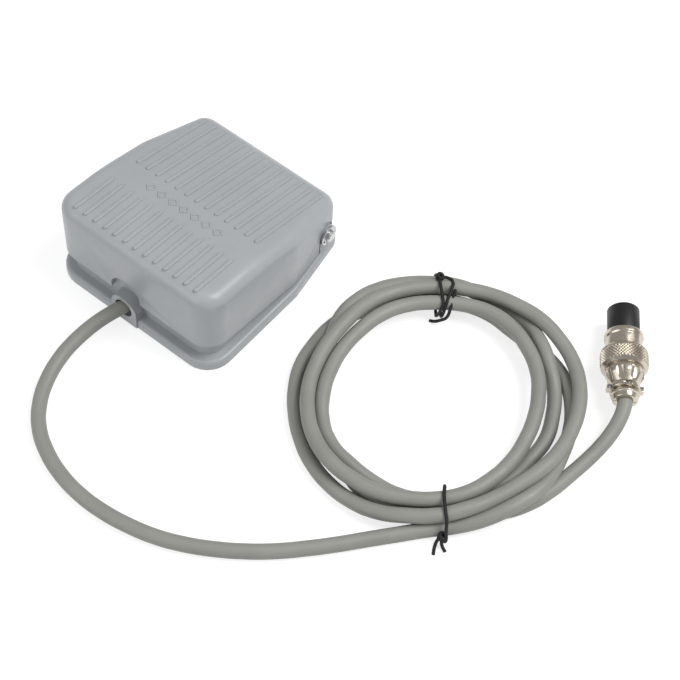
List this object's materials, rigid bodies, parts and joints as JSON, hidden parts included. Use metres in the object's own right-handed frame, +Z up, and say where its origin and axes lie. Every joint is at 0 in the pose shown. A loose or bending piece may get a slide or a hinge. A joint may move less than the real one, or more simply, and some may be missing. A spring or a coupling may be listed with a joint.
{
  "type": "industrial foot switch",
  "caption": "Grey die-cast foot switch: a ribbed hinged cover over a low base, with a coiled grey cord tied in a loop and a round metal plug with a knurled ring.",
  "frame": {"origin": "middle of the switch's underside on the floor, measured without the cord, its coil, ties and plug", "axes": "+Z up; +Y from the cord side at the front to the hinge at the rear; +X along the hinge axle, to the side where the coil lies"},
  "size_m": [0.2175, 0.2002, 0.0441],
  "materials": {
    "grey_paint": "satin grey enamel on die-cast aluminium",
    "axle_steel": "zinc-plated steel, bright",
    "spring_steel": "drawn spring wire",
    "black_rubber": "matt moulded rubber",
    "switch_plastic": "black phenolic moulding",
    "plunger_plastic": "red moulded plastic",
    "contact_brass": "stamped brass",
    "cord_jacket": "warm grey PVC jacket with a soft sheen",
    "wire_insulation": "thin PVC insulation",
    "tie_string": "black twisted string",
    "nickel": "bright nickel plate on brass",
    "plug_insulator": "black moulded insulator"
  },
  "bodies": {
    "housing": {"base": "grey_paint", "hinge_axle": "axle_steel", "axle_clips": "axle_steel", "axle_washers": "axle_steel", "return_spring_left": "spring_steel", "return_spring_right": "spring_steel", "stop_bumpers": "black_rubber", "switch_case": "switch_plastic", "switch_cover": "switch_plastic", "lever_pin": "axle_steel", "switch_blade": "contact_brass", "switch_terminals": "contact_brass", "switch_screws": "axle_steel", "switch_nuts": "axle_steel", "switch_bracket": "axle_steel", "bracket_screws": "axle_steel", "cord_grommet": "black_rubber", "cord_inner_end": "cord_jacket", "cord_clamp": "axle_steel", "cord_clamp_screws": "axle_steel", "lead_wires": "wire_insulation", "earth_tag": "contact_brass", "earth_screw": "contact_brass", "rubber_feet": "black_rubber", "cord_lead": "cord_jacket", "cord_coil": "cord_jacket", "cord_tail": "cord_jacket", "tie_top": "tie_string", "tie_bottom": "tie_string", "plug_body": "nickel", "plug_saddle": "nickel", "plug_saddle_screws": "axle_steel", "plug_set_screw": "axle_steel", "plug_barrel": "nickel", "plug_insert": "plug_insulator", "plug_contacts": "contact_brass"},
    "pedal": {"cover": "grey_paint", "adjusting_screw": "axle_steel", "adjuster_locknut": "axle_steel"},
    "lever": {"switch_lever": "axle_steel"},
    "plunger": {"switch_plunger": "plunger_plastic"},
    "ring": {"coupling_ring": "nickel"}
  },
  "joints": [
    {"name": "pedal_hinge", "type": "hinge", "parent": "housing", "child": "pedal", "pos_m": [0, 0.033, 0.0135], "axis": [1, 0, 0], "range_deg": [0, 6], "stiffness_Nm_per_rad": 8, "springref_deg": -4.58, "deforming": ["return_spring_left", "return_spring_right"]},
    {"name": "lever_hinge", "type": "hinge", "parent": "housing", "child": "lever", "pos_m": [0, 0.0165, 0.0255], "axis": [1, 0, 0], "range_deg": [0, 10.6]},
    {"name": "plunger_slide", "type": "slide", "parent": "housing", "child": "plunger", "axis": [0, 0, -1], "range_m": [0, 0.00139]},
    {"name": "ring_spin", "type": "hinge", "parent": "housing", "child": "ring", "pos_m": [0.16027, 0.06187, 0.0094], "axis": [-0.5592, 0.829, 0], "continuous": true}
  ],
  "couplings": [
    {"joint": "lever_hinge", "follows": "pedal_hinge", "ratio": 1.75},
    {"joint": "plunger_slide", "follows": "pedal_hinge", "m_per_rad": 0.01312}
  ]
}
